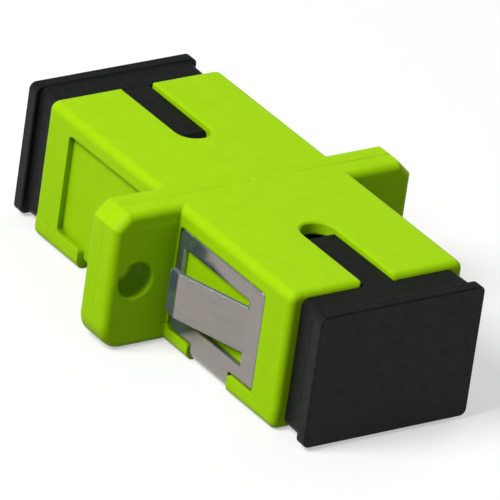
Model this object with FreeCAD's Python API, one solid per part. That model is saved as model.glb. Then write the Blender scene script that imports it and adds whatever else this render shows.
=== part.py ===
import FreeCAD, Part
import os

# A simplex push-pull fibre adapter with a two-hole flange, a spring clip and two dust caps.
# Frame: origin at the centre of the adapter, where its optical axis crosses the weld plane.
# The optical axis is Y, the near port opens towards -Y, +Z is the side with the key slots.

# Moulded body, both halves together
body_width = 12.8
body_height = 9.3
body_length = 26.8
body_edge_radius = 0.6
mouth_edge_radius = 0.45
side_ledge_step = 0.06
port_width = 9.2
port_height = 7.6
port_corner_radius = 0.3
port_lead_in = 0.25

# Flange of the body
flange_thickness = 2.8
flange_top_chamfer = 0.95
flange_bottom_radius = 1.65
flange_edge_radius = 0.5
weld_groove = 0.02
screw_spacing = 18.0
screw_to_flange_end = 1.95
screw_hole_diameter = 2.4
screw_hole_rim = 0.12

# Key slot in the top wall
key_slot_width = 2.35
key_slot_length = 7.55
key_slot_corner_radius = 0.35
key_slot_edge_chamfer = 0.12

# Recess that takes the spring clip, on both halves
clip_recess_depth = 0.45
clip_recess_top = 3.4
clip_recess_bottom = -3.3
clip_recess_bottom_inner = -3.55
clip_recess_corner_radius = 0.3
clip_recess_flange_rib = 0.2
clip_channel_depth = 0.4
clip_channel_corner_radius = 0.4
clip_channel_start = 4.0
clip_channel_end = 8.3
mouth_frame_length = 2.55

# Pockets that hold the inner parts
arm_relief_width = 10.7
arm_relief_height = 4.2
arm_relief_start = 2.6
weld_peg_width = 0.9
weld_peg_length = 0.7
weld_peg_from_body = 0.7
weld_peg_z = 3.1
peg_clearance = 0.05

# Inner holder: plate, sleeve barrel and two latch arms
plate_width = 10.4
plate_height = 7.8
plate_thickness = 1.0
plate_corner_radius = 0.3
plate_clearance = 0.05
barrel_diameter = 4.8
barrel_end_wall = 0.75
barrel_tip_chamfer = 0.25
barrel_root_radius = 0.4
ferrule_entry_diameter = 2.8
ferrule_entry_chamfer = 0.3
arm_inner_x = 4.0
arm_thickness = 0.75
arm_height = 3.5
arm_tip_from_mouth = 4.5
hook_reach = 0.65
hook_flat = 0.35
hook_ramp_length = 0.55
holder_peg_diameter = 0.9
holder_peg_length = 0.6
holder_peg_x = 3.9
holder_peg_z = 2.9

# Split alignment sleeve
sleeve_outer_diameter = 3.2
sleeve_bore_diameter = 2.49
sleeve_length = 11.4
sleeve_slit_width = 0.4
sleeve_edge_chamfer = 0.1
sleeve_radial_clearance = 0.05
sleeve_end_clearance = 0.15

# Folded spring clip
clip_thickness = 0.3
clip_clearance = 0.03
clip_top_gap = 0.1
clip_edge_gap = 0.12
clip_low_corner_radius = 0.7
clip_top_corner_radius = 0.35
window_start = 2.24
window_end = 9.3
window_top = 2.2
window_bottom = -2.3
tab_width = 3.0
tab_centre_z = 0.15
tab_flare = 1.6
tab_bend_y = 4.1
tab_lip_length = 1.0
tab_lip_return = 0.1
tab_bend_radius = 0.2
tab_corner_radius = 0.25

# Dust cap
cap_lip_width = 12.0
cap_lip_height = 8.9
cap_lip_thickness = 0.85
cap_lip_corner_radius = 0.45
cap_lip_edge_chamfer = 0.07
cap_neck_width = 11.1
cap_neck_height = 8.65
cap_neck_draft = 0.05
cap_neck_length = 1.9
cap_neck_corner_radius = 0.5
cap_wall = 0.8
cap_plug_length = 4.0
cap_tongue_length = 6.7
cap_tongue_width = 5.2
cap_key_width = 2.2
cap_key_drop = 0.06
cap_key_nose_chamfer = 0.4
cap_plug_clearance = 0.1
cap_seat_gap = 0.05

# Derived places
mouth_y = -body_length / 2
flange_half = flange_thickness / 2
body_side = body_width / 2
body_top = body_height / 2
side_ledge_z = clip_recess_bottom
flange_width = screw_spacing + 2 * screw_to_flange_end
weld_peg_x = body_side + weld_peg_from_body
recess_end_y = mouth_y + mouth_frame_length
recess_flange_y = -flange_half - clip_recess_flange_rib

# How far a cutting shape runs past the face it opens, and the tolerance for finding an edge
overrun = 1.0
near = 1e-4

across = FreeCAD.Vector(1, 0, 0)
along = FreeCAD.Vector(0, 1, 0)
up = FreeCAD.Vector(0, 0, 1)


def block(x0, x1, y0, y1, z0, z1):
    corner = FreeCAD.Vector(x0, y0, z0)
    return Part.makeBox(x1 - x0, y1 - y0, z1 - z0, corner)


def centred_block(width, height, y0, y1):
    return block(-width / 2, width / 2, y0, y1, -height / 2, height / 2)


def rod(diameter, y0, y1, x=0.0, z=0.0):
    start = FreeCAD.Vector(x, y0, z)
    return Part.makeCylinder(diameter / 2, y1 - y0, start, along)


def taper_rod(diameter0, diameter1, y0, y1, x=0.0, z=0.0):
    start = FreeCAD.Vector(x, y0, z)
    return Part.makeCone(diameter0 / 2, diameter1 / 2, y1 - y0, start, along)


def straight_edges(shape, direction, test):
    lines = [edge for edge in shape.Edges if isinstance(edge.Curve, Part.Line)]
    parallel = [edge for edge in lines if edge.Curve.Direction.cross(direction).Length < near]
    return [edge for edge in parallel if test(edge.CenterOfMass)]


def rounded_bar(width, height, radius, y0, y1):
    bar = centred_block(width, height, y0, y1)
    corners = straight_edges(bar, along, lambda middle: True)
    return bar.makeFillet(radius, corners)


def edges_at_y(shape, y):
    return [edge for edge in shape.Edges
            if abs(edge.BoundBox.YMin - y) < near and abs(edge.BoundBox.YMax - y) < near]


def section_wire(width, height, radius, y):
    bar = rounded_bar(width, height, radius, y, y + overrun)
    return Part.Wire(Part.__sortEdges__(edges_at_y(bar, y)))


def tapered_bar(size0, size1, radius, y0, y1):
    ends = [section_wire(*size0, radius, y0), section_wire(*size1, radius, y1)]
    return Part.makeLoft(ends, True)


def prism(points, travel):
    face = Part.Face(Part.makePolygon(points + points[:1]))
    return face.extrude(travel)


def plan_slab(outline, z0, height):
    return prism([FreeCAD.Vector(x, y, z0) for x, y in outline], up * height)


def other_end(shape):
    turned = shape.copy()
    turned.rotate(FreeCAD.Vector(0, 0, 0), up, 180)
    return turned


def both_sides(shape):
    mirrored = shape.mirror(FreeCAD.Vector(0, 0, 0), across)
    return shape.fuse(mirrored)


# Outer form of one body half
def body_bar():
    width = body_width - 2 * side_ledge_step
    bar = rounded_bar(width, body_height, body_edge_radius, mouth_y, -flange_half / 2)
    return bar.makeFillet(mouth_edge_radius, edges_at_y(bar, mouth_y))


def side_ledge():
    bar = block(-body_side, body_side, mouth_y, -flange_half / 2, -body_top, side_ledge_z)
    bar = bar.makeFillet(body_edge_radius, straight_edges(bar, along, lambda m: m.z < side_ledge_z - near))
    rim = [edge for edge in edges_at_y(bar, mouth_y) if edge.CenterOfMass.z < side_ledge_z - near]
    return bar.makeFillet(mouth_edge_radius, rim)


def flange_plate():
    plate = centred_block(flange_width, body_height, -flange_half, 0)
    plate = plate.makeChamfer(flange_top_chamfer, straight_edges(plate, along, lambda m: m.z > 0))
    plate = plate.makeFillet(flange_bottom_radius, straight_edges(plate, along, lambda m: m.z < 0))
    plate = plate.makeFillet(flange_edge_radius, edges_at_y(plate, -flange_half))
    return plate.makeChamfer(weld_groove, edges_at_y(plate, 0))


def screw_holes():
    hole = rod(screw_hole_diameter, -flange_thickness, overrun, screw_spacing / 2)
    rim = taper_rod(screw_hole_diameter + 2 * screw_hole_rim, screw_hole_diameter,
                    -flange_half, -flange_half + screw_hole_rim, screw_spacing / 2)
    return both_sides(hole.fuse(rim))


# Hollows of one body half
def slot_edge_cutter(half, round_y):
    low_z = body_top - key_slot_edge_chamfer
    depth = key_slot_edge_chamfer + overrun
    start_y = mouth_y - overrun
    section = [(-half, low_z), (half, low_z), (half + depth, low_z + depth), (-half - depth, low_z + depth)]
    straight = prism([FreeCAD.Vector(x, start_y, z) for x, z in section], along * (round_y - start_y))
    return straight.fuse(Part.makeCone(half, half + depth, depth, FreeCAD.Vector(0, round_y, low_z)))


def key_slot_cutter():
    half = key_slot_width / 2
    radius = key_slot_corner_radius
    end_y = mouth_y + key_slot_length
    slot = block(-half, half, mouth_y - overrun, end_y - half, 0, body_top + overrun)
    round_end = Part.makeCylinder(half, body_top + overrun, FreeCAD.Vector(0, end_y - half, 0))
    flare = block(-half - radius, half + radius, mouth_y - overrun, mouth_y + radius,
                  0, body_top + overrun)
    for side in (-1, 1):
        centre = FreeCAD.Vector(side * (half + radius), mouth_y + radius, 0)
        flare = flare.cut(Part.makeCylinder(radius, body_top + overrun, centre))
    return slot.fuse([round_end, flare, slot_edge_cutter(half, end_y - half)])


def port_cutter():
    port = rounded_bar(port_width, port_height, port_corner_radius, mouth_y - overrun, 0)
    mouth_size = (port_width + 2 * port_lead_in, port_height + 2 * port_lead_in)
    lead_in = tapered_bar(mouth_size, (port_width, port_height), port_corner_radius,
                          mouth_y, mouth_y + port_lead_in)
    return port.fuse(lead_in)


def inner_pockets():
    relief = centred_block(arm_relief_width, arm_relief_height, mouth_y + arm_relief_start, 0)
    pocket = rounded_bar(plate_width + 2 * plate_clearance, plate_height + 2 * plate_clearance,
                         plate_corner_radius, -plate_thickness - plate_clearance, overrun)
    return relief.fuse(pocket)


def clip_side_cutter():
    x0 = -body_side - overrun
    x1 = -body_side + clip_recess_depth
    wide = block(x0, x1, recess_end_y, -clip_channel_start, clip_recess_bottom, clip_recess_top)
    near_flange = block(x0, x1, -clip_channel_start, recess_flange_y,
                        clip_recess_bottom_inner, clip_recess_top)
    downward = block(x0, x1, -clip_channel_end, -clip_channel_start, -body_height, 0)
    cutter = wide.fuse([near_flange, downward]).removeSplitter()

    def is_round(middle):
        at_end = abs(middle.y - recess_end_y) < near or abs(middle.y - recess_flange_y) < near
        at_channel = abs(middle.y + clip_channel_end) < near or abs(middle.y + clip_channel_start) < near
        return at_end or (at_channel and middle.z > -body_top)

    return cutter.makeFillet(clip_recess_corner_radius, straight_edges(cutter, across, is_round))


def clip_channel_cutter():
    width = body_width - 2 * clip_recess_depth
    height = body_height - 2 * clip_channel_depth
    around = block(-body_width, body_width, -clip_channel_end, -clip_channel_start,
                   -body_height, clip_recess_bottom)
    core = rounded_bar(width, height, clip_channel_corner_radius, mouth_y, 0)
    return around.cut(core)


def square_bar(width, y0, y1, x, z):
    bar = centred_block(width, width, y0, y1)
    bar.translate(FreeCAD.Vector(x, 0, z))
    return bar


def weld_pegs():
    high = square_bar(weld_peg_width, -flange_half / 2, weld_peg_length, weld_peg_x, weld_peg_z)
    low = square_bar(weld_peg_width, -flange_half / 2, weld_peg_length, -weld_peg_x, -weld_peg_z)
    return high.fuse(low)


def weld_sockets():
    width = weld_peg_width + 2 * peg_clearance
    depth = weld_peg_length + peg_clearance
    high = square_bar(width, -depth, overrun, -weld_peg_x, weld_peg_z)
    low = square_bar(width, -depth, overrun, weld_peg_x, -weld_peg_z)
    return high.fuse(low)


def housing():
    solid = body_bar().fuse([side_ledge(), flange_plate()]).removeSplitter()
    hollows = [port_cutter(), inner_pockets(), key_slot_cutter(), both_sides(clip_side_cutter()),
               clip_channel_cutter(), screw_holes(), weld_sockets()]
    for hollow in hollows:
        solid = solid.cut(hollow)
    return solid.fuse(weld_pegs()).removeSplitter()


# Inner holder
def latch_arm():
    x0 = arm_inner_x
    x1 = arm_inner_x + arm_thickness
    tip_y = mouth_y + arm_tip_from_mouth
    hook_back_y = tip_y + hook_ramp_length + hook_flat
    root_y = -plate_thickness / 2
    outline = [(x1, root_y), (x0, root_y), (x0, hook_back_y + hook_reach), (x0 - hook_reach, hook_back_y),
               (x0 - hook_reach, tip_y + hook_ramp_length), (x0, tip_y), (x1, tip_y)]
    return plan_slab(outline, -arm_height / 2, arm_height)


def barrel_tip_y():
    return -sleeve_length / 2 - sleeve_end_clearance - barrel_end_wall


def sleeve_barrel():
    barrel = rod(barrel_diameter, barrel_tip_y(), -plate_thickness / 2)
    barrel = barrel.makeChamfer(barrel_tip_chamfer, edges_at_y(barrel, barrel_tip_y()))
    root = taper_rod(barrel_diameter, barrel_diameter + 2 * barrel_root_radius,
                     -plate_thickness - barrel_root_radius, -plate_thickness)
    return barrel.fuse(root)


def barrel_bore():
    bore = rod(sleeve_outer_diameter + 2 * sleeve_radial_clearance,
               -sleeve_length / 2 - sleeve_end_clearance, overrun)
    entry = rod(ferrule_entry_diameter, barrel_tip_y() - overrun, 0)
    flare = taper_rod(ferrule_entry_diameter + 2 * ferrule_entry_chamfer, ferrule_entry_diameter,
                      barrel_tip_y(), barrel_tip_y() + ferrule_entry_chamfer)
    return bore.fuse([entry, flare])


def holder_pegs():
    high = rod(holder_peg_diameter, -plate_thickness / 2, holder_peg_length, holder_peg_x, holder_peg_z)
    low = rod(holder_peg_diameter, -plate_thickness / 2, holder_peg_length, -holder_peg_x, -holder_peg_z)
    return high.fuse(low)


def holder_sockets():
    diameter = holder_peg_diameter + 2 * peg_clearance
    depth = holder_peg_length + peg_clearance
    high = rod(diameter, -depth, overrun, -holder_peg_x, holder_peg_z)
    low = rod(diameter, -depth, overrun, holder_peg_x, -holder_peg_z)
    return high.fuse(low)


def inner_holder():
    plate = rounded_bar(plate_width, plate_height, plate_corner_radius, -plate_thickness, 0)
    solid = plate.fuse([sleeve_barrel(), both_sides(latch_arm())])
    solid = solid.cut(barrel_bore()).cut(holder_sockets())
    return solid.fuse(holder_pegs()).removeSplitter()


def alignment_sleeve():
    half = sleeve_length / 2
    tube = rod(sleeve_outer_diameter, -half, half)
    tube = tube.makeChamfer(sleeve_edge_chamfer, edges_at_y(tube, -half) + edges_at_y(tube, half))
    tube = tube.cut(rod(sleeve_bore_diameter, -half - overrun, half + overrun))
    slit = block(-sleeve_slit_width / 2, sleeve_slit_width / 2, -half - overrun, half + overrun,
                 0, sleeve_outer_diameter)
    return tube.cut(slit)


# Folded spring clip
def clip_shell():
    floor_x = body_side - clip_recess_depth
    floor_z = body_top - clip_channel_depth
    inner_x = floor_x + clip_clearance
    inner_z = floor_z + clip_clearance
    y0 = recess_end_y + clip_edge_gap
    y1 = recess_flange_y - clip_edge_gap
    bend = clip_channel_corner_radius + clip_clearance
    outer = rounded_bar(2 * (inner_x + clip_thickness), 2 * (inner_z + clip_thickness),
                        bend + clip_thickness, y0, y1)
    inner = rounded_bar(2 * inner_x, 2 * inner_z, bend, y0 - overrun, y1 + overrun)
    top = clip_recess_top - clip_top_gap
    lid = block(-body_width, body_width, y0 - overrun, y1 + overrun, top, body_height)
    return outer.cut([inner, lid])


def clip_foot_cutter():
    below_mouth = clip_recess_bottom + clip_top_gap
    below_flange = clip_recess_bottom_inner + clip_top_gap
    mouth_side = block(-body_width, body_width, mouth_y, -clip_channel_end + clip_edge_gap,
                       -body_height, below_mouth)
    flange_side = block(-body_width, body_width, -clip_channel_start - clip_edge_gap, 0,
                        -body_height, below_flange)
    return mouth_side.fuse(flange_side)


def clip_window():
    return block(-body_width, body_width, -window_end, -window_start, window_bottom, window_top)


def spring_tab():
    outer_x = body_side - clip_recess_depth + clip_clearance + clip_thickness
    tip_x = outer_x + tab_flare
    lip_y = -tab_bend_y + tab_lip_length
    outside = [(outer_x, -window_end - clip_thickness), (outer_x, -window_end), (tip_x, -tab_bend_y),
               (tip_x - tab_lip_return, lip_y)]
    inside = [(x - clip_thickness, y) for x, y in reversed(outside)]
    tab = plan_slab(outside + inside, tab_centre_z - tab_width / 2, tab_width)
    corners = straight_edges(tab, across, lambda m: abs(m.y - lip_y) < near)
    tab = tab.makeFillet(tab_corner_radius, corners)
    outer_bend = straight_edges(tab, up, lambda m: abs(m.y + tab_bend_y) < near and m.x > tip_x - near)
    tab = tab.makeFillet(tab_bend_radius + clip_thickness, outer_bend)
    inner_bend = straight_edges(tab, up, lambda m: abs(m.y + tab_bend_y) < near)
    return tab.makeFillet(tab_bend_radius, inner_bend)


def mounting_clip():
    sheet = clip_shell().cut([clip_foot_cutter(), clip_window()])
    flange_edge = recess_flange_y - clip_edge_gap
    low_z = clip_recess_bottom_inner + clip_top_gap
    top_z = clip_recess_top - clip_top_gap
    low_corners = straight_edges(sheet, across, lambda m: abs(m.y - flange_edge) < near
                                 and abs(m.z - low_z) < near)
    sheet = sheet.makeFillet(clip_low_corner_radius, low_corners)
    top_corners = straight_edges(sheet, across, lambda m: abs(m.z - top_z) < near)
    sheet = sheet.makeFillet(clip_top_corner_radius, top_corners)
    return sheet.fuse(both_sides(spring_tab())).removeSplitter()


# Dust cap
def cap_neck():
    lip_side = (cap_neck_width + 2 * cap_neck_draft, cap_neck_height + 2 * cap_neck_draft)
    mouth_side = (cap_neck_width, cap_neck_height)
    y1 = mouth_y - cap_seat_gap
    return tapered_bar(lip_side, mouth_side, cap_neck_corner_radius, y1 - cap_neck_length, y1)


def cap_lip():
    y1 = mouth_y - cap_seat_gap - cap_neck_length
    lip = rounded_bar(cap_lip_width, cap_lip_height, cap_lip_corner_radius, y1 - cap_lip_thickness, y1)
    rims = edges_at_y(lip, y1 - cap_lip_thickness) + edges_at_y(lip, y1)
    return lip.makeChamfer(cap_lip_edge_chamfer, rims)


def cap_plug():
    width = port_width - 2 * cap_plug_clearance
    height = port_height - 2 * cap_plug_clearance
    y0 = mouth_y - cap_seat_gap - cap_neck_length / 2
    sleeve = rounded_bar(width, height, port_corner_radius, y0, mouth_y + cap_plug_length)
    tongues = centred_block(cap_tongue_width, height, y0, mouth_y + cap_tongue_length)
    return sleeve.fuse(tongues)


def cap_key():
    root_y = mouth_y - cap_neck_length / 2
    nose_y = mouth_y + cap_tongue_length
    top = cap_neck_height / 2
    bottom = port_height / 2 - cap_plug_clearance - cap_wall
    profile = [(root_y, bottom), (nose_y, bottom), (nose_y, top - cap_key_drop), (root_y, top)]
    key = prism([FreeCAD.Vector(-cap_key_width / 2, y, z) for y, z in profile], across * cap_key_width)
    nose = [edge for edge in edges_at_y(key, nose_y) if edge.CenterOfMass.z > bottom + near]
    return key.makeChamfer(cap_key_nose_chamfer, nose)


def cap_hollow():
    width = port_width - 2 * cap_plug_clearance - 2 * cap_wall
    height = port_height - 2 * cap_plug_clearance - 2 * cap_wall
    lid_y = mouth_y - cap_seat_gap - cap_neck_length
    return rounded_bar(width, height, port_corner_radius, lid_y, 0)


def dust_cap():
    solid = cap_neck().fuse([cap_lip(), cap_plug(), cap_key()])
    return solid.cut(cap_hollow()).removeSplitter()


def write(node, shape):
    solid = shape.Solids[0] if len(shape.Solids) == 1 else shape
    solid.exportStep("parts/" + node + ".step")


def main():
    os.makedirs("parts", exist_ok=True)
    half = housing()
    holder = inner_holder()
    cap = dust_cap()
    write("front_housing", half)
    write("rear_housing", other_end(half))
    write("front_inner_holder", holder)
    write("rear_inner_holder", other_end(holder))
    write("alignment_sleeve", alignment_sleeve())
    write("mounting_clip", mounting_clip())
    write("front_dust_cap", cap)
    write("rear_dust_cap", other_end(cap))


main()
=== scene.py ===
import math

import bpy
from mathutils import Matrix, Vector


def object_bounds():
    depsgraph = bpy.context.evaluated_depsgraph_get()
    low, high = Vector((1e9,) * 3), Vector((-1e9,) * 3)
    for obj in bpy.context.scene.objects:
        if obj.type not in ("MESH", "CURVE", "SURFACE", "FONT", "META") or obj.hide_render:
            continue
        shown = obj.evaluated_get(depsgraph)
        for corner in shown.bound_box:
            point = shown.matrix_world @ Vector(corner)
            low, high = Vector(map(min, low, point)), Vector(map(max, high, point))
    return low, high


# Camera, at the photograph's viewing angle
CAMERA_PLACE = (-0.32238, -0.41696, 0.27140)
CAMERA_RIGHT = (0.8231, -0.5529, 0.1293)
CAMERA_DOWN = (-0.1624, -0.4474, -0.8795)
CAMERA_LENS = 699.0
CAMERA_CLIPS = (0.01, 10.0)
SENSOR_WIDTH = 36.0

# Colours, linear
LIME = (0.366, 0.668, 0.0035)
LIME_DEEP = (0.343, 0.638, 0.0025)
# Painted highlight colour of the mould line and the weld flash
LIME_PAINTED_HIGHLIGHT = (0.52, 0.9, 0.03)
BLACK_PLASTIC = (0.0058, 0.0062, 0.0062)
BLACK_WORN = (0.0074, 0.0079, 0.0078)
STEEL = (0.285, 0.243, 0.203)
STEEL_DARK = (0.25, 0.217, 0.183)
STEEL_HAZE = (0.34, 0.44, 0.62)
# Worn colour of the cut edges, made lighter as a painted highlight
STEEL_EDGE_WEAR_AND_HIGHLIGHT = (0.38, 0.42, 0.48)
CERAMIC = (0.78, 0.77, 0.72)
CERAMIC_DEEP = (0.70, 0.69, 0.64)

# Mottle: colours, each at its level of the noise
LIME_STOPS = ((0.3, LIME_DEEP), (0.62, LIME))
BLACK_STOPS = ((0.35, BLACK_PLASTIC), (0.75, BLACK_WORN))
STEEL_STOPS = ((0.25, STEEL_DARK), (0.6, STEEL))
CERAMIC_STOPS = ((0.2, CERAMIC_DEEP), (0.8, CERAMIC))

# Gloss: roughness at the two ends of a range of noise, and the level of the mirror reflection
PATCH_RANGE = (0.3, 0.7)
ROLLED_RANGE = (0.2, 0.8)
LIME_ROUGHNESS = (0.42, 0.52)
BLACK_ROUGHNESS = (0.42, 0.6)
STEEL_ROUGHNESS = (0.20, 0.13)
STEEL_EDGE_ROUGHNESS = 0.45
CERAMIC_ROUGHNESS = 0.18
LIME_SHINE = 0.05
BLACK_SHINE = 0.16
STEEL_SHEEN = 0.25

# Surface grain: height of its relief, and the steel's long lines of rolling along Y
LIME_RELIEF = 0.000004
BLACK_RELIEF = 0.000008
STEEL_RELIEF = 0.000004
ROLLED_ALONG_Y = (1, 0.04, 1)

# Edges that look slightly rounded
MOULDED_EDGE = 0.00018
CAP_EDGE = 0.0001
SHEET_EDGE = 0.00018
EDGE_SAMPLES = 6

# Painted highlight of a mould line: a pale line across the left half of the flange's face, full at the
# body's side, in place of the lit top of a small ledge
FLANGE_HALF = 0.0014
BODY_SIDE = 0.0064
LINE_GONE_X = -0.0114
LINE_Z = 0.00364
LINE_HALF = 0.00009
FACE_REACH = 0.0002

# Marks of the weld: painted highlights on flecks of flash, and a seam that shows only towards the
# right ear
FLECKS_X = (-0.00005, 0.0017)
FLECK_Y = 0.00006
FLECK_LENGTH = 0.0006
PAINTED_HIGHLIGHT_SHARE = 0.5
WELD_FLAT = 0.0003
WELD_OPENS = (0.003, 0.007)

# Clip: rough cut edges whose worn colour is painted lighter as a highlight from one height up, the
# lower ones being in shade; and the strip above each window
PAINTED_HIGHLIGHT_FROM = -0.0012
PAINTED_HIGHLIGHT_AT = -0.0011
EDGE_ON = (0.7, 0.3)
STRIP_FROM = 0.0018
STRIP_AT = 0.0022
STRIP_SLOPE = 0.14

# Painted shade in holes and inner corners: level of openness, and the share of the colour left there
PAINTED_SHADE_REACH = 0.003
PAINTED_SHADE_SAMPLES = 8
PAINTED_SHADE_SHARES = ((0.0, 0.1), (0.3, 0.2), (0.55, 0.8), (0.95, 1.0))

# Floor: as the camera sees it, its own glow, and what it gives the object back
FLOOR_SEEN = 0.55
FLOOR_GLOW = 0.46
FLOOR_BOUNCE = 0.20
FLOOR_SIZE = 3.0
FLOOR_GAP = 0.00001

# Room: the light that it gives, and its reflection, white at the horizon and darker overhead
ROOM_LEVEL = 0.25
CEILING_LEVEL = 0.25
WHITE_UP_TO = 0.0
CEILING_FROM = 0.25

# Lamps: direction, level and size
KEY_DIRECTION = (-0.672, 0.04, 0.74)
KEY_LEVEL = 1.03
KEY_SIZE = 0.16
FILL_DIRECTION = (0.85, 0.40, 0.25)
FILL_LEVEL = 0.45
FILL_SIZE = 0.25
LAMP_DISTANCE = 0.3

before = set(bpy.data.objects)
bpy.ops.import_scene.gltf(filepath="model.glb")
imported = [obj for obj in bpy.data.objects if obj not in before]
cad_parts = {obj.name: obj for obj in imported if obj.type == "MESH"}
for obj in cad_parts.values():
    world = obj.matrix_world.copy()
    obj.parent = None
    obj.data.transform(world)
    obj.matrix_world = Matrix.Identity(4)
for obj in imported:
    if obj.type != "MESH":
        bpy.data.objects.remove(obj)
CAD_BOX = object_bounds()


def new_material(name):
    """A material with its node tree and its main shader."""
    material = bpy.data.materials.new(name)
    material.use_nodes = True
    tree = material.node_tree
    shader = tree.nodes["Principled BSDF"]
    return material, tree, shader


def node(tree, kind, **values):
    """A new node of a kind, with its own values set."""
    made = tree.nodes.new(kind)
    for key, value in values.items():
        setattr(made, key, value)
    return made


def noise(tree, scale, detail=2.0, roughness=0.5, stretch=(1, 1, 1)):
    """Noise in metres on the object's own coordinates, with features 1/scale long."""
    place = node(tree, "ShaderNodeTexCoord")
    mapping = node(tree, "ShaderNodeMapping")
    mapping.inputs["Scale"].default_value = stretch
    texture = node(tree, "ShaderNodeTexNoise")
    texture.inputs["Scale"].default_value = scale
    texture.inputs["Detail"].default_value = detail
    texture.inputs["Roughness"].default_value = roughness
    tree.links.new(place.outputs["Object"], mapping.inputs["Vector"])
    tree.links.new(mapping.outputs["Vector"], texture.inputs["Vector"])
    return texture.outputs["Fac"]


def ramp(tree, source, stops):
    """Colours along source, from stops of a place and a colour each."""
    made = node(tree, "ShaderNodeValToRGB")
    elements = made.color_ramp.elements
    while len(elements) < len(stops):
        elements.new(1.0)
    for element, (position, colour) in zip(elements, stops):
        element.position = position
        element.color = (*colour, 1)
    tree.links.new(source, made.inputs["Fac"])
    return made.outputs["Color"]


def grey(value):
    return (value, value, value)


def rounded_edges(tree, radius):
    """Normals that make the edges look rounded to radius."""
    rounded = node(tree, "ShaderNodeBevel", samples=EDGE_SAMPLES)
    rounded.inputs["Radius"].default_value = radius
    return rounded.outputs["Normal"]


def relief(tree, source, height, strength, normal):
    """Normals of small relief from source, added to normal."""
    made = node(tree, "ShaderNodeBump")
    made.inputs["Distance"].default_value = height
    made.inputs["Strength"].default_value = strength
    tree.links.new(source, made.inputs["Height"])
    tree.links.new(normal, made.inputs["Normal"])
    return made.outputs["Normal"]


def place_axis(tree, axis):
    """The object's own x, y or z, in metres."""
    place = node(tree, "ShaderNodeTexCoord")
    axes = node(tree, "ShaderNodeSeparateXYZ")
    tree.links.new(place.outputs["Object"], axes.inputs["Vector"])
    return axes.outputs[axis]


def math_node(tree, operation, first, second=None):
    """Result of a math operation on a socket and, where it takes two, a socket or a number."""
    made = node(tree, "ShaderNodeMath", operation=operation)
    tree.links.new(first, made.inputs[0])
    if isinstance(second, (int, float)):
        made.inputs[1].default_value = second
    elif second is not None:
        tree.links.new(second, made.inputs[1])
    return made.outputs["Value"]


def rise(tree, source, low, high):
    """Nought where source is at low or beyond, one at high or beyond, and even in between."""
    made = node(tree, "ShaderNodeMapRange")
    made.inputs["From Min"].default_value = low
    made.inputs["From Max"].default_value = high
    tree.links.new(source, made.inputs["Value"])
    return made.outputs["Result"]


def blend(tree, share, first, second):
    """First where share is nought and second where it is one."""
    made = node(tree, "ShaderNodeMix", data_type="RGBA")
    tree.links.new(share, made.inputs["Factor"])
    tree.links.new(first, made.inputs["A"])
    made.inputs["B"].default_value = (*second, 1)
    return made.outputs["Result"]


def paint_shade_in_corners(tree, colour):
    """Paints shade into the colour in the piece's own holes and corners, which close off the view
    outward.
    """
    openness = node(tree, "ShaderNodeAmbientOcclusion", samples=PAINTED_SHADE_SAMPLES, only_local=True)
    openness.inputs["Distance"].default_value = PAINTED_SHADE_REACH
    shades = [(level, grey(share)) for level, share in PAINTED_SHADE_SHARES]
    shaded = node(tree, "ShaderNodeMix", data_type="RGBA", blend_type="MULTIPLY")
    shaded.inputs["Factor"].default_value = 1.0
    tree.links.new(colour, shaded.inputs["A"])
    tree.links.new(ramp(tree, openness.outputs["AO"], shades), shaded.inputs["B"])
    return shaded.outputs["Result"]


def welded_edges(tree):
    """Rounded edges, but none along most of the weld, where the two halves run on as one."""
    away = rise(tree, math_node(tree, "ABSOLUTE", place_axis(tree, "Y")), WELD_FLAT / 2, WELD_FLAT)
    away = math_node(tree, "MAXIMUM", away, rise(tree, place_axis(tree, "X"), *WELD_OPENS))
    own = node(tree, "ShaderNodeNewGeometry")
    made = node(tree, "ShaderNodeMix", data_type="VECTOR")
    tree.links.new(away, made.inputs["Factor"])
    tree.links.new(own.outputs["Normal"], made.inputs["A"])
    tree.links.new(rounded_edges(tree, MOULDED_EDGE), made.inputs["B"])
    return made.outputs["Result"]


def stripe(tree, axis, centre, half):
    """One on the plane where the object's axis is centre, falling to nought at half to either side."""
    aside = math_node(tree, "ABSOLUTE", math_node(tree, "SUBTRACT", place_axis(tree, axis), centre))
    return rise(tree, aside, half, half / 2)


def product(tree, *shares):
    """All the shares multiplied together."""
    total = shares[0]
    for share in shares[1:]:
        total = math_node(tree, "MULTIPLY", total, share)
    return total


def paint_mould_highlights(tree, colour):
    """Painted highlights: a pale line across the left half of the flange's face, in place of a small
    lit ledge, and pale flecks on the weld flash.
    """
    inward = rise(tree, place_axis(tree, "X"), LINE_GONE_X, -BODY_SIDE)
    left = rise(tree, place_axis(tree, "X"), BODY_SIDE, -BODY_SIDE)
    face = stripe(tree, "Y", -FLANGE_HALF, FACE_REACH)
    marks = product(tree, stripe(tree, "Z", LINE_Z, LINE_HALF), face, inward, left)
    for centre in FLECKS_X:
        along = stripe(tree, "X", centre, FLECK_LENGTH / 2)
        across = stripe(tree, "Y", FLECK_Y, LINE_HALF)
        marks = math_node(tree, "MAXIMUM", marks, product(tree, along, across))
    return blend(tree, math_node(tree, "MULTIPLY", marks, PAINTED_HIGHLIGHT_SHARE), colour, LIME_PAINTED_HIGHLIGHT)


def satin(tree, source, limits, roughness):
    """Goes from the first roughness to the second as source goes from one limit to the other."""
    return ramp(tree, source, [(limit, grey(value)) for limit, value in zip(limits, roughness)])


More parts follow.
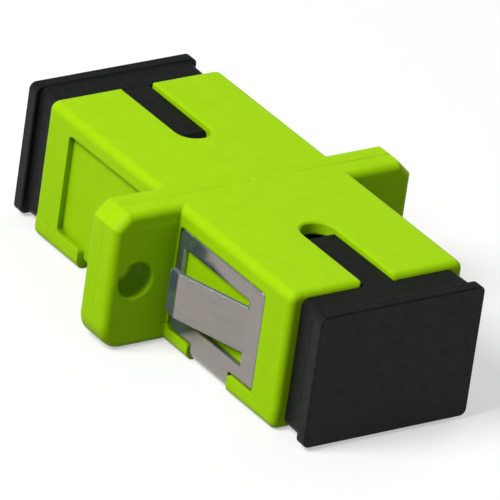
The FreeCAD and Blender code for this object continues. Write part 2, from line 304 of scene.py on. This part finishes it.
def lime_plastic():
    """Satin plastic with faint mottle, painted shade in its holes and corners, and painted highlights
    on a mould line and on weld flash.
    """
    material, tree, shader = new_material("lime_plastic")
    mottle = noise(tree, scale=900.0, detail=4.0)
    patches = noise(tree, scale=2600.0, detail=3.0)
    grain = noise(tree, scale=9000.0, detail=2.0)
    # Colour with painted highlights on the mould line and weld flash, and painted shade in holes and
    # corners
    colours = paint_shade_in_corners(tree, paint_mould_highlights(tree, ramp(tree, mottle, LIME_STOPS)))
    grained = relief(tree, grain, LIME_RELIEF, strength=0.5, normal=welded_edges(tree))
    tree.links.new(colours, shader.inputs["Base Color"])
    tree.links.new(satin(tree, patches, PATCH_RANGE, LIME_ROUGHNESS), shader.inputs["Roughness"])
    tree.links.new(grained, shader.inputs["Normal"])
    shader.inputs["Specular IOR Level"].default_value = LIME_SHINE
    return material


def black_plastic():
    """Duller plastic with a coarser grain and slightly worn patches."""
    material, tree, shader = new_material("black_plastic")
    mottle = noise(tree, scale=700.0, detail=5.0, roughness=0.6)
    patches = noise(tree, scale=1800.0, detail=3.0)
    grain = noise(tree, scale=7000.0, detail=3.0)
    grained = relief(tree, grain, BLACK_RELIEF, strength=0.6, normal=rounded_edges(tree, CAP_EDGE))
    tree.links.new(ramp(tree, mottle, BLACK_STOPS), shader.inputs["Base Color"])
    tree.links.new(satin(tree, patches, PATCH_RANGE, BLACK_ROUGHNESS), shader.inputs["Roughness"])
    tree.links.new(grained, shader.inputs["Normal"])
    shader.inputs["Specular IOR Level"].default_value = BLACK_SHINE
    return material


def cut_edge_wear_and_highlight(tree):
    """One on the cut edges of the side plates' upper part, which are rough and worn, with a painted
    highlight where light falls; else nought.
    """
    facing = node(tree, "ShaderNodeNewGeometry")
    axes = node(tree, "ShaderNodeSeparateXYZ")
    tree.links.new(facing.outputs["True Normal"], axes.inputs["Vector"])
    edge_on = rise(tree, math_node(tree, "ABSOLUTE", axes.outputs["X"]), *EDGE_ON)
    upper = rise(tree, place_axis(tree, "Z"), PAINTED_HIGHLIGHT_FROM, PAINTED_HIGHLIGHT_AT)
    return product(tree, edge_on, upper)


def bowed(tree, normal):
    """Leans normal on the strips above the windows, which stand out more towards the flange."""
    on_strip = rise(tree, place_axis(tree, "Z"), STRIP_FROM, STRIP_AT)
    lean = node(tree, "ShaderNodeVectorMath", operation="SCALE")
    lean.inputs["Vector"].default_value = (0, -STRIP_SLOPE, 0)
    tree.links.new(on_strip, lean.inputs["Scale"])
    leaning = node(tree, "ShaderNodeVectorMath", operation="ADD")
    tree.links.new(normal, leaning.inputs[0])
    tree.links.new(lean.outputs["Vector"], leaning.inputs[1])
    return leaning.outputs["Vector"]


def spring_steel():
    """Rolled steel with rougher cut edges, worn and painted lighter as a highlight in their upper
    part, and a faint bluish haze.
    """
    material, tree, shader = new_material("spring_steel")
    grain = noise(tree, scale=2400.0, detail=3.0, roughness=0.6, stretch=ROLLED_ALONG_Y)
    edge = cut_edge_wear_and_highlight(tree)
    # Upper cut edges get a worn colour that is also a painted highlight
    colours = blend(tree, edge, ramp(tree, grain, STEEL_STOPS), STEEL_EDGE_WEAR_AND_HIGHLIGHT)
    rolled = satin(tree, grain, ROLLED_RANGE, STEEL_ROUGHNESS)
    rough = blend(tree, edge, rolled, grey(STEEL_EDGE_ROUGHNESS))
    grained = relief(tree, grain, STEEL_RELIEF, strength=0.5, normal=rounded_edges(tree, SHEET_EDGE))
    tree.links.new(colours, shader.inputs["Base Color"])
    tree.links.new(rough, shader.inputs["Roughness"])
    tree.links.new(bowed(tree, grained), shader.inputs["Normal"])
    shader.inputs["Metallic"].default_value = 1.0
    shader.inputs["Sheen Weight"].default_value = STEEL_SHEEN
    shader.inputs["Sheen Roughness"].default_value = 1.0
    shader.inputs["Sheen Tint"].default_value = (*STEEL_HAZE, 1)
    return material


def ceramic():
    """Ground ceramic, smooth and faintly mottled."""
    material, tree, shader = new_material("ceramic")
    mottle = noise(tree, scale=1500.0, detail=3.0)
    tree.links.new(ramp(tree, mottle, CERAMIC_STOPS), shader.inputs["Base Color"])
    shader.inputs["Roughness"].default_value = CERAMIC_ROUGHNESS
    return material


def paint(node_name, material):
    """Gives a CAD piece its material."""
    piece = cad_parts[node_name]
    piece.data.materials.clear()
    piece.data.materials.append(material)


def dress_nodes():
    lime = lime_plastic()
    black = black_plastic()
    for end in ("front", "rear"):
        paint(end + "_housing", lime)
        paint(end + "_dust_cap", black)
        paint(end + "_inner_holder", black)
    paint("mounting_clip", spring_steel())
    paint("alignment_sleeve", ceramic())


def mix_seen(tree, lit, seen, output):
    """Shows seen to camera, glossy and transmission rays, and lit to the rest."""
    path = node(tree, "ShaderNodeLightPath")
    sees = path.outputs["Is Camera Ray"]
    for ray in ("Is Glossy Ray", "Is Transmission Ray"):
        sees = math_node(tree, "MAXIMUM", sees, path.outputs[ray])
    mix = node(tree, "ShaderNodeMixShader")
    tree.links.new(sees, mix.inputs[0])
    tree.links.new(lit, mix.inputs[1])
    tree.links.new(seen, mix.inputs[2])
    tree.links.new(mix.outputs["Shader"], output)


def background_level(tree):
    """White at the horizon and the ceiling's level overhead, but white everywhere for the camera."""
    place = node(tree, "ShaderNodeTexCoord")
    axes = node(tree, "ShaderNodeSeparateXYZ")
    tree.links.new(place.outputs["Generated"], axes.inputs["Vector"])
    height = node(tree, "ShaderNodeMapRange")
    height.inputs["From Min"].default_value = WHITE_UP_TO
    height.inputs["From Max"].default_value = CEILING_FROM
    height.inputs["To Min"].default_value = 1.0
    height.inputs["To Max"].default_value = CEILING_LEVEL
    tree.links.new(axes.outputs["Z"], height.inputs["Value"])
    path = node(tree, "ShaderNodeLightPath")
    return math_node(tree, "MAXIMUM", path.outputs["Is Camera Ray"], height.outputs["Result"])


def make_world():
    world = bpy.data.worlds.new("studio")
    bpy.context.scene.world = world
    world.use_nodes = True
    tree = world.node_tree
    room = tree.nodes["Background"]
    room.inputs["Color"].default_value = (1, 1, 1, 1)
    room.inputs["Strength"].default_value = ROOM_LEVEL
    seen = node(tree, "ShaderNodeBackground")
    seen.inputs["Color"].default_value = (1, 1, 1, 1)
    tree.links.new(background_level(tree), seen.inputs["Strength"])
    surface = tree.nodes["World Output"].inputs["Surface"]
    mix_seen(tree, room.outputs["Background"], seen.outputs["Background"], surface)


def floor_shader(tree, level):
    """A matte grey of one level."""
    made = node(tree, "ShaderNodeBsdfDiffuse")
    made.inputs["Color"].default_value = (*grey(level), 1)
    return made.outputs["BSDF"]


def glowing_floor(tree):
    """The floor that the camera sees: white, but for the shadow on it."""
    glow = node(tree, "ShaderNodeEmission")
    glow.inputs["Strength"].default_value = FLOOR_GLOW
    both = node(tree, "ShaderNodeAddShader")
    tree.links.new(floor_shader(tree, FLOOR_SEEN), both.inputs[0])
    tree.links.new(glow.outputs["Emission"], both.inputs[1])
    return both.outputs["Shader"]


def make_floor():
    half = FLOOR_SIZE / 2
    z = CAD_BOX[0].z - FLOOR_GAP
    corners = [(-half, -half, z), (half, -half, z), (half, half, z), (-half, half, z)]
    mesh = bpy.data.meshes.new("floor")
    mesh.from_pydata(corners, [], [(0, 1, 2, 3)])
    floor = bpy.data.objects.new("floor", mesh)
    bpy.context.scene.collection.objects.link(floor)
    material, tree, _ = new_material("floor")
    surface = tree.nodes["Material Output"].inputs["Surface"]
    mix_seen(tree, floor_shader(tree, FLOOR_BOUNCE), glowing_floor(tree), surface)
    mesh.materials.append(material)


def lamp(name, direction, level, size, mirrored):
    """A soft disk lamp, mirrored in the object or not.

    At level 1, a surface that faces it shows its colour as written.
    """
    light = bpy.data.lights.new(name, "AREA")
    light.shape = "DISK"
    light.size = size
    light.energy = level * math.pi ** 2 * LAMP_DISTANCE ** 2
    holder = bpy.data.objects.new(name, light)
    towards = Vector(direction).normalized()
    holder.location = towards * LAMP_DISTANCE
    holder.rotation_euler = towards.to_track_quat("Z", "Y").to_euler()
    holder.visible_glossy = mirrored
    bpy.context.scene.collection.objects.link(holder)


def make_lamps():
    lamp("key", KEY_DIRECTION, KEY_LEVEL, KEY_SIZE, mirrored=True)
    lamp("fill", FILL_DIRECTION, FILL_LEVEL, FILL_SIZE, mirrored=False)


def make_camera():
    data = bpy.data.cameras.new("camera")
    data.sensor_width = SENSOR_WIDTH
    data.lens = CAMERA_LENS
    data.clip_start, data.clip_end = CAMERA_CLIPS
    camera = bpy.data.objects.new("camera", data)
    right = Vector(CAMERA_RIGHT).normalized()
    up = -Vector(CAMERA_DOWN).normalized()
    back = right.cross(up).normalized()
    up = back.cross(right).normalized()
    turn = Matrix((right, up, back)).transposed().to_4x4()
    camera.matrix_world = Matrix.Translation(CAMERA_PLACE) @ turn
    bpy.context.scene.collection.objects.link(camera)
    bpy.context.scene.camera = camera


dress_nodes()
make_world()
make_floor()
make_lamps()
make_camera()
bpy.context.scene.view_settings.view_transform = "Standard"
